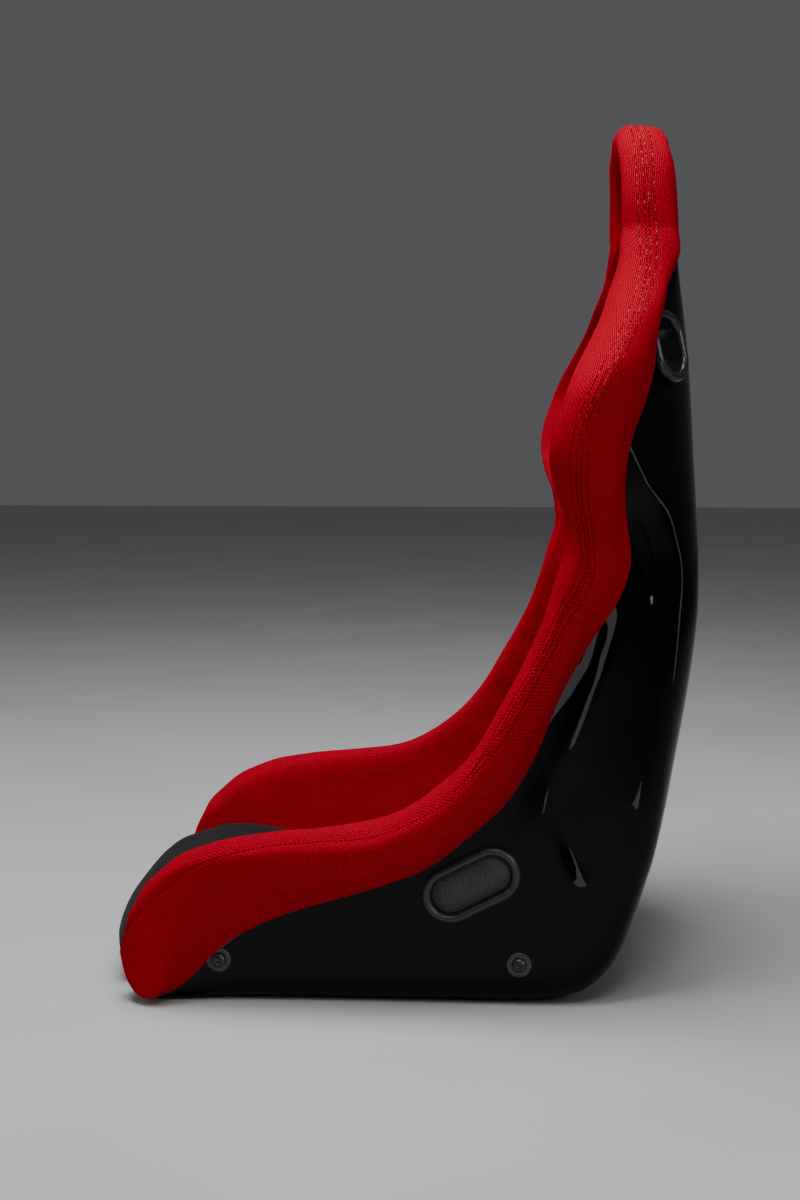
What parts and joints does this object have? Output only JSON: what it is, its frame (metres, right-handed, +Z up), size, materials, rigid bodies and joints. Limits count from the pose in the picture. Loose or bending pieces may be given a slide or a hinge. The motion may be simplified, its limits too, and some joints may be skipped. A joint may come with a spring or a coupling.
{
  "type": "racing bucket seat",
  "caption": "Fixed-back bucket seat: gloss black moulded shell, red knitted bolsters from thigh over the headrest, black lift-out pads, oval harness slots and side mounts.",
  "frame": {"origin": "on the flat underside of the shell, on the mid plane, midway between the front and rear side-mount bolts", "axes": "X across the seat, the occupant faces -Y and the back is at +Y, +Z up"},
  "size_m": [0.5538, 0.589, 0.8559],
  "materials": {
    "gelcoat": "polished black gelcoat over glass-fibre laminate",
    "lining_felt": "black needle felt",
    "plate_steel": "zinc-plated steel",
    "black_steel": "black oxide steel, slightly worn at the edges",
    "grey_foam": "open-cell polyurethane foam",
    "red_knit": "saturated red ribbed knit with dark twin stitching",
    "satin_plastic": "satin black moulded plastic",
    "perforated_vinyl": "dark grey vinyl with fine staggered perforations",
    "hook_tape": "black hook tape",
    "black_knit": "black ribbed knit"
  },
  "bodies": {
    "seat": {"shell": "gelcoat", "inner_lining": "lining_felt", "side_plate_left": "plate_steel", "side_plate_right": "plate_steel", "mount_bolts": "black_steel", "mount_washers": "black_steel", "bolster_foam_left": "grey_foam", "bolster_foam_right": "grey_foam", "bolster_cover_left": "red_knit", "bolster_cover_right": "red_knit", "lap_bezel_left": "satin_plastic", "lap_bezel_right": "satin_plastic", "lap_retainer_left": "satin_plastic", "lap_retainer_right": "satin_plastic", "lap_pad_left": "perforated_vinyl", "lap_pad_right": "perforated_vinyl", "shoulder_bezel_rear_left": "satin_plastic", "shoulder_bezel_rear_right": "satin_plastic", "shoulder_bezel_front_left": "satin_plastic", "shoulder_bezel_front_right": "satin_plastic", "crotch_bezel": "satin_plastic", "hook_strips_seat": "hook_tape", "hook_strips_back": "hook_tape", "hook_strips_head": "hook_tape"},
    "seat_pad": {"seat_cushion": "black_knit"},
    "back_pad": {"back_cushion": "black_knit"},
    "head_pad": {"head_cushion": "black_knit"}
  },
  "joints": [
    {"name": "seat_pad_lift", "type": "slide", "parent": "seat", "child": "seat_pad", "axis": [0, -0.8, 0.6], "range_m": [0, 0.25]},
    {"name": "back_pad_lift", "type": "slide", "parent": "seat", "child": "back_pad", "axis": [0, -0.9536, 0.3011], "range_m": [0, 0.2]},
    {"name": "head_pad_lift", "type": "slide", "parent": "seat", "child": "head_pad", "axis": [0, -0.9927, 0.1203], "range_m": [0, 0.08]}
  ]
}
